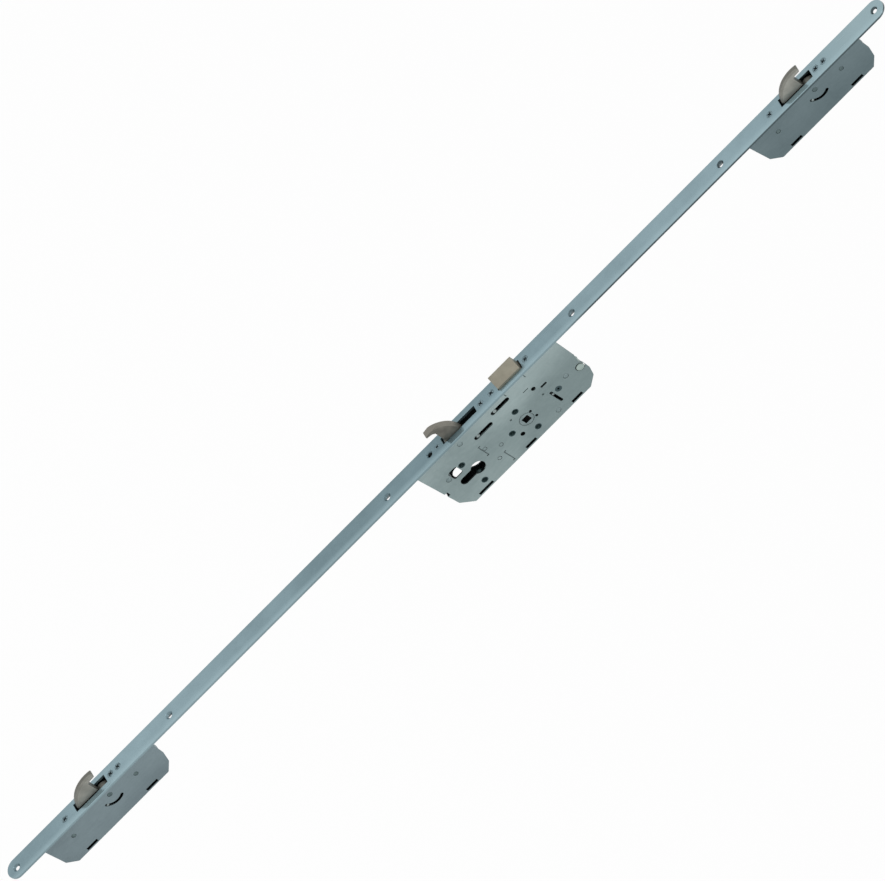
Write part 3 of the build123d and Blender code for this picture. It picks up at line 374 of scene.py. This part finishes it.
def turned_steel(name, light, dark, gloss, metallic=0.85):
    """Turned or headed steel: small tone changes and fine marks."""
    finish = Finish(name)
    cloud = finish.noise(160, detail=2.0)
    marks = finish.noise(1800, (1.0, 0.25, 0.25), detail=3.0)
    tone = finish.ramp(cloud, ((0.3, dark), (0.7, light)))
    finish.set("Base Color", finish.blend(finish.spread(marks, 0.4, 0.6, 0.0, 0.25), tone, dark))
    finish.set("Metallic", metallic)
    finish.set("Roughness", finish.spread(marks, 0.3, 0.7, gloss - 0.04, gloss + 0.08))
    finish.bump(marks, 0.015 * MM)
    return finish.material


def screw_zinc():
    """Zinc-plated screw: blue-grey head with soft tone changes and painted shade in its recess."""
    finish = Finish("screw_zinc")
    cloud = finish.noise(420, detail=2.0)
    tone = finish.ramp(cloud, ((0.36, srgb(84, 104, 110)), (0.64, srgb(134, 156, 163))))
    # Painted shade in the cross recess
    deep = finish.along("Y", RECESS_PAINTED_SHADE, 0.0, 1.0)
    finish.set("Base Color", finish.blend(deep, tone, srgb(30, 40, 43)))
    finish.set("Metallic", 0.5)
    finish.set("Roughness", finish.spread(cloud, 0.3, 0.7, 0.42, 0.54))
    finish.bump(finish.noise(1600), 0.015 * MM)
    return finish.material


def bush_steel():
    """Passivated bush: dark rim flush with the case, lighter teal bore."""
    finish = Finish("bush_dark")
    cloud = finish.noise(260, detail=2.0)
    bore = finish.ramp(cloud, ((0.3, srgb(84, 110, 110)), (0.7, srgb(104, 130, 130))))
    rim = finish.along("X", BUSH_RIM, 0.0, 1.0)
    finish.set("Base Color", finish.blend(rim, bore, srgb(52, 72, 76)))
    finish.set("Metallic", 0.6)
    finish.set("Roughness", finish.spread(cloud, 0.3, 0.7, 0.36, 0.5))
    finish.bump(finish.noise(1500), 0.02 * MM)
    return finish.material


def sintered_steel(name, light, dark, painted_shade_hollow=None):
    """Sintered or die-cast part: matt, speckled and slightly porous, with painted shade in its hole."""
    finish = Finish(name)
    cloud = finish.noise(110, detail=3.0)
    pores = finish.noise(2600, detail=3.0, roughness=0.7)
    tone = finish.ramp(cloud, ((0.3, dark), (0.7, light)))
    tone = finish.blend(finish.spread(pores, 0.3, 0.45, 0.5, 0.0), tone, dark)
    if painted_shade_hollow:
        # Painted shade on the faces of the hole
        tone = finish.blend(finish.inside(painted_shade_hollow), tone, srgb(18, 22, 23))
    finish.set("Base Color", tone)
    finish.set("Metallic", 0.7)
    finish.set("Roughness", finish.spread(pores, 0.3, 0.7, 0.6, 0.42))
    finish.bump(pores, 0.05 * MM)
    return finish.material


def countersunk_head(shape, height, radius, shank):
    """Countersunk head with a crowned face and a stub of shank."""
    lathe = bmesh.new()
    profile = [(radius * share, HEAD_RIM + behind) for share, behind in HEAD_FACE]
    profile += [
        (shank, HEAD_RIM + radius - shank),
        (shank, HEAD_RIM + SHANK_STRAIGHT),
        (shank * SHANK_POINT_SHARE, HEAD_RIM + SHANK_LENGTH),
        (0.0, HEAD_RIM + SHANK_LENGTH),
    ]
    spine = [lathe.verts.new((x, y, height)) for x, y in profile]
    edges = [lathe.edges.new(pair) for pair in zip(spine, spine[1:])]
    bmesh.ops.spin(
        lathe, geom=spine + edges, cent=(0, 0, height), axis=(0, 1, 0), angle=2 * math.pi,
        steps=HEAD_SEGMENTS, use_merge=True,
    )
    bmesh.ops.remove_doubles(lathe, verts=lathe.verts, dist=WELD_DISTANCE)
    bmesh.ops.recalc_face_normals(lathe, faces=lathe.faces)
    mesh = bpy.data.meshes.new("head")
    lathe.to_mesh(mesh)
    lathe.free()
    shape.from_mesh(mesh)
    bpy.data.meshes.remove(mesh)


def cross_cutter(shape, height, radius):
    """Two crossed bars, narrower at their inner ends, which cut the recess of one head."""
    bar = (radius * RECESS_LENGTH_SHARE, RECESS_CUT, radius * RECESS_WIDTH_SHARE)
    for turn in RECESS_TURNS:
        made = bmesh.ops.create_cube(shape, size=1.0)["verts"]
        bmesh.ops.scale(shape, verts=made, vec=bar)
        bmesh.ops.translate(shape, verts=made, vec=(0, RECESS_MIDDLE, 0))
        deep = [vert for vert in made if vert.co.y > RECESS_MIDDLE]
        bmesh.ops.scale(shape, verts=deep, vec=RECESS_TAPER)
        bmesh.ops.rotate(shape, verts=made, matrix=Matrix.Rotation(math.radians(turn), 3, "Y"))
        bmesh.ops.translate(shape, verts=made, vec=(0, 0, height))


def new_piece(name, shape, material):
    """Object of a finished bmesh with its material."""
    mesh = bpy.data.meshes.new(name)
    shape.to_mesh(mesh)
    shape.free()
    piece = bpy.data.objects.new(name, mesh)
    bpy.context.scene.collection.objects.link(piece)
    mesh.materials.append(material)
    return piece


def apply_modifiers(piece):
    """Turns the modifiers of a piece into mesh."""
    bpy.context.view_layer.update()
    graph = bpy.context.evaluated_depsgraph_get()
    mesh = bpy.data.meshes.new_from_object(piece.evaluated_get(graph))
    piece.modifiers.clear()
    piece.data = mesh


def screws(name, node, heights, radius, shank):
    """Case screws with crowned heads and cut cross recesses, in place of a node."""
    shape = bmesh.new()
    cutters = bmesh.new()
    for height in heights:
        countersunk_head(shape, height, radius, shank)
        cross_cutter(cutters, height, radius)
    piece = new_piece(name, shape, screw_finish)
    cutter = new_piece(name + "_cutter", cutters, screw_finish)
    cut = piece.modifiers.new("recess", "BOOLEAN")
    cut.operation = "DIFFERENCE"
    cut.solver = "EXACT"
    cut.use_self = True
    cut.object = cutter
    apply_modifiers(piece)
    bpy.data.objects.remove(cutter)
    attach(piece, "case")
    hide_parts(node)


def coil(name, node, front, back, height, wire, turns):
    """Helical spring with capped ends between two seats."""
    shape = bmesh.new()
    ring = bmesh.ops.create_circle(shape, segments=WIRE_SIDES, radius=wire / 2)["verts"]
    bmesh.ops.rotate(shape, verts=ring, matrix=Matrix.Rotation(math.pi / 2, 3, "X"))
    bmesh.ops.rotate(shape, verts=ring, matrix=Matrix.Rotation(math.pi / 2, 3, "Z"))
    bmesh.ops.translate(shape, verts=ring, vec=(0, front + wire, height + SPRING_RADIUS))
    steps = turns * STEPS_PER_TURN
    bmesh.ops.spin(
        shape, geom=list(shape.verts) + list(shape.edges), cent=(0, 0, height), axis=(0, 1, 0),
        dvec=(0, (back - front - 2 * wire) / steps, 0), angle=2 * math.pi * turns, steps=steps,
    )
    bmesh.ops.holes_fill(shape, edges=[edge for edge in shape.edges if edge.is_boundary])
    bmesh.ops.recalc_face_normals(shape, faces=shape.faces)
    for face in shape.faces:
        face.smooth = len(face.verts) == 4
    piece = new_piece(name, shape, wire_finish)
    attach(piece, "case")
    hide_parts(node)
    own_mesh(piece)


def box_middle(name):
    """Middle of a CAD node's box."""
    low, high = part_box(name)
    return [(a + b) / 2 for a, b in zip(low, high)]


def dress(material, *names):
    """Gives CAD nodes a finish."""
    for name in names:
        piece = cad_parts[name]
        piece.data.materials.clear()
        piece.data.materials.append(material)


def camera():
    """Long lens at the photograph's angle, and the directions to its right, its top and ahead."""
    sideways = Vector((math.cos(VIEW_AZIMUTH), math.sin(VIEW_AZIMUTH), 0))
    level = Vector((-math.sin(VIEW_AZIMUTH), math.cos(VIEW_AZIMUTH), 0))
    ahead = level * math.cos(VIEW_ELEVATION) - Vector((0, 0, math.sin(VIEW_ELEVATION)))
    upward = sideways.cross(ahead)
    turned = Matrix.Rotation(VIEW_ROLL, 3, ahead)
    right = turned @ sideways
    top = turned @ upward
    lens = bpy.data.cameras.new("camera")
    lens.type = "PERSP"
    lens.lens = LENS
    lens.sensor_width = SENSOR
    lens.clip_start = CLIP_START
    lens.clip_end = CLIP_END
    body = bpy.data.objects.new("camera", lens)
    bpy.context.scene.collection.objects.link(body)
    distance = PICTURE_WIDTH * LENS / SENSOR
    place = Matrix((right, top, -ahead)).transposed().to_4x4()
    place.translation = VIEW_TARGET - ahead * distance
    body.matrix_world = place
    bpy.context.scene.camera = body
    return right, top, ahead


def softbox(name, place, size, watts):
    """Square area lamp that faces the lock."""
    lamp = bpy.data.lights.new(name, "AREA")
    lamp.shape = "SQUARE"
    lamp.size = size
    lamp.energy = watts
    body = bpy.data.objects.new(name, lamp)
    bpy.context.scene.collection.objects.link(body)
    body.rotation_euler = (VIEW_TARGET - place).to_track_quat("-Z", "Y").to_euler()
    body.location = place


def looking_rays(tree):
    """One for the rays that show a surface: camera, glossy and transmission rays."""
    rays = tree.nodes.new("ShaderNodeLightPath")
    seen = rays.outputs["Is Camera Ray"]
    for name in ("Is Glossy Ray", "Is Transmission Ray"):
        either = tree.nodes.new("ShaderNodeMath")
        either.operation = "MAXIMUM"
        tree.links.new(seen, either.inputs[0])
        tree.links.new(rays.outputs[name], either.inputs[1])
        seen = either.outputs["Value"]
    return seen


def studio_world(level):
    """White world for the camera and in reflections, plain level for the light it sheds."""
    world = bpy.data.worlds.new("studio")
    bpy.context.scene.world = world
    world.use_nodes = True
    nodes = world.node_tree.nodes
    links = world.node_tree.links
    background = nodes["Background"]
    background.inputs["Color"].default_value = (1, 1, 1, 1)
    strength = nodes.new("ShaderNodeMapRange")
    strength.inputs["To Min"].default_value = level
    strength.inputs["To Max"].default_value = 1.0
    links.new(looking_rays(world.node_tree), strength.inputs["Value"])
    links.new(strength.outputs["Result"], background.inputs["Strength"])


def floor():
    """Pale floor well below the lock, white to the camera where no shadow falls."""
    lowest = cad_box[0][2]
    mesh = bpy.data.meshes.new("floor")
    shape = bmesh.new()
    bmesh.ops.create_grid(shape, x_segments=1, y_segments=1, size=FLOOR_SIZE)
    bmesh.ops.translate(shape, verts=shape.verts, vec=(0, 0, lowest - FLOOR_DROP))
    shape.to_mesh(mesh)
    shape.free()
    body = bpy.data.objects.new("floor", mesh)
    bpy.context.scene.collection.objects.link(body)
    material = bpy.data.materials.new("floor_paint")
    material.use_nodes = True
    tree = material.node_tree
    shader = tree.nodes["Principled BSDF"]
    shader.inputs["Base Color"].default_value = (FLOOR_GREY, FLOOR_GREY, FLOOR_GREY, 1)
    shader.inputs["Roughness"].default_value = 0.9
    shader.inputs["Specular IOR Level"].default_value = 0.1
    glow = tree.nodes.new("ShaderNodeEmission")
    glow.inputs["Strength"].default_value = 1.0
    share = tree.nodes.new("ShaderNodeMath")
    share.operation = "MULTIPLY"
    share.inputs[1].default_value = FLOOR_GLOW
    tree.links.new(looking_rays(tree), share.inputs[0])
    mix = tree.nodes.new("ShaderNodeMixShader")
    tree.links.new(share.outputs["Value"], mix.inputs["Fac"])
    tree.links.new(shader.outputs["BSDF"], mix.inputs[1])
    tree.links.new(glow.outputs["Emission"], mix.inputs[2])
    tree.links.new(mix.outputs["Shader"], tree.nodes["Material Output"].inputs["Surface"])
    mesh.materials.append(material)


right, top, ahead = camera()
studio_world(WORLD_LEVEL)
floor()
for lamp_name, nearer, sideways, higher, lamp_size, lamp_watts in CAMERA_LAMPS:
    lamp_place = VIEW_TARGET - ahead * nearer + right * sideways + top * higher
    softbox(lamp_name, lamp_place, lamp_size, lamp_watts)
softbox("back_lamp", VIEW_TARGET + BACK_LAMP_OFFSET, BACK_LAMP_SIZE, BACK_LAMP_WATTS)

# Each case's light, dark and shaded tone; the upper and lower cases are darker copies of one zinc, painted
# shade
case_tones = {
    "main": (srgb(156, 172, 172), srgb(126, 142, 143), srgb(113, 129, 130)),
    "upper": (srgb(106, 122, 126), srgb(92, 108, 112), srgb(92, 108, 112)),
    "lower": (srgb(128, 144, 149), srgb(112, 127, 132), srgb(110, 125, 130)),
}
case_finishes = {
    case: case_zinc(case + "_case_zinc", box_middle(case + "_case_tray"), *tones)
    for case, tones in case_tones.items()
}
nickel = satin_nickel("latch_nickel", srgb(158, 154, 138), srgb(138, 134, 119), srgb(142, 138, 124))
main_nickel = satin_nickel("main_hook_nickel", srgb(124, 122, 114), srgb(94, 93, 86), srgb(132, 129, 120))
upper_nickel, lower_nickel = [
    satin_nickel(name, srgb(160, 160, 152), srgb(131, 132, 125), srgb(82, 82, 75), pivot + HOOK_JAW_FLOOR)
    for name, pivot in zip(("upper_hook_nickel", "lower_hook_nickel"), HOOK_PIVOTS)
]
rivet_finish = turned_steel("rivet_zinc", srgb(136, 152, 153), srgb(112, 128, 130), 0.45)
# The hook cases' rivets: a darker copy of the rivet zinc, painted shade like their cases
hook_rivet_finish = turned_steel("hook_rivet_zinc", srgb(100, 118, 119), srgb(76, 93, 95), 0.5, 0.6)
pin_finish = turned_steel("pin_steel", srgb(158, 170, 169), srgb(118, 131, 131), 0.42, 0.6)
stud_finish = turned_steel("stud_zinc", srgb(164, 180, 175), srgb(140, 156, 151), 0.42)
screw_finish = screw_zinc()
drive_finish, drive_tone = zinc_sheet("drive_zinc", srgb(128, 136, 138), srgb(98, 106, 108))
drive_finish.set("Base Color", drive_tone)
follower_finish = sintered_steel(
    "follower_sintered", srgb(138, 154, 155), srgb(112, 127, 129), painted_shade_hollow=(0, 0, 0),
)
gear_finish = sintered_steel("gear_sintered", srgb(92, 96, 96), srgb(60, 63, 64))
wire_finish = turned_steel("spring_wire", srgb(160, 164, 168), srgb(108, 112, 118), 0.28)

dress(faceplate_zinc(), "faceplate")
for case, case_finish in case_finishes.items():
    dress(case_finish, case + "_case_tray", case + "_case_cover")
dress(case_finishes["main"], "gear_axles")
dress(nickel, "latch_bolt")
dress(main_nickel, "main_hook")
dress(upper_nickel, "upper_hook")
dress(lower_nickel, "lower_hook")
dress(stud_finish, "case_top_stud")
dress(rivet_finish, "main_case_rivets", "main_hook_pivot_pin", "rod_guide_studs")
dress(hook_rivet_finish, "hook_case_rivets", "upper_hook_pivot_pin", "lower_hook_pivot_pin")
dress(
    pin_finish, "drive_guide_pins", "main_hook_drive_pin", "upper_hook_drive_pin", "lower_hook_drive_pin",
    "latch_guide_pin",
)
dress(screw_finish, "case_screws", "small_case_screw")
dress(bush_steel(), "rose_bushes", "ring_bush")
dress(
    drive_finish.material, "main_screw_blocks", "hook_screw_blocks", "latch_guide_block",
    "main_drive_slide", "upper_rod", "lower_rod", "upper_drive_slide", "lower_drive_slide", "latch_carriage",
)
dress(follower_finish, "handle_follower")
dress(gear_finish, "front_cylinder_gear", "rear_cylinder_gear", "idler_gear")

screws("case_screw_heads", "case_screws", SCREW_HEIGHTS, SCREW_RADIUS, SCREW_SHANK)
screws(
    "small_screw_head", "small_case_screw", SMALL_SCREW_HEIGHTS, SMALL_SCREW_RADIUS, SMALL_SCREW_SHANK,
)
coil(
    "latch_spring_wire", "latch_spring", front=depth(6.2), back=depth(39.8),
    height=22.0 * MM, wire=1.0 * MM, turns=8,
)
coil(
    "return_spring_wire", "handle_return_spring", front=depth(61.5), back=depth(85.3),
    height=17.6 * MM, wire=1.2 * MM, turns=7,
)

bpy.context.scene.view_settings.view_transform = "Standard"
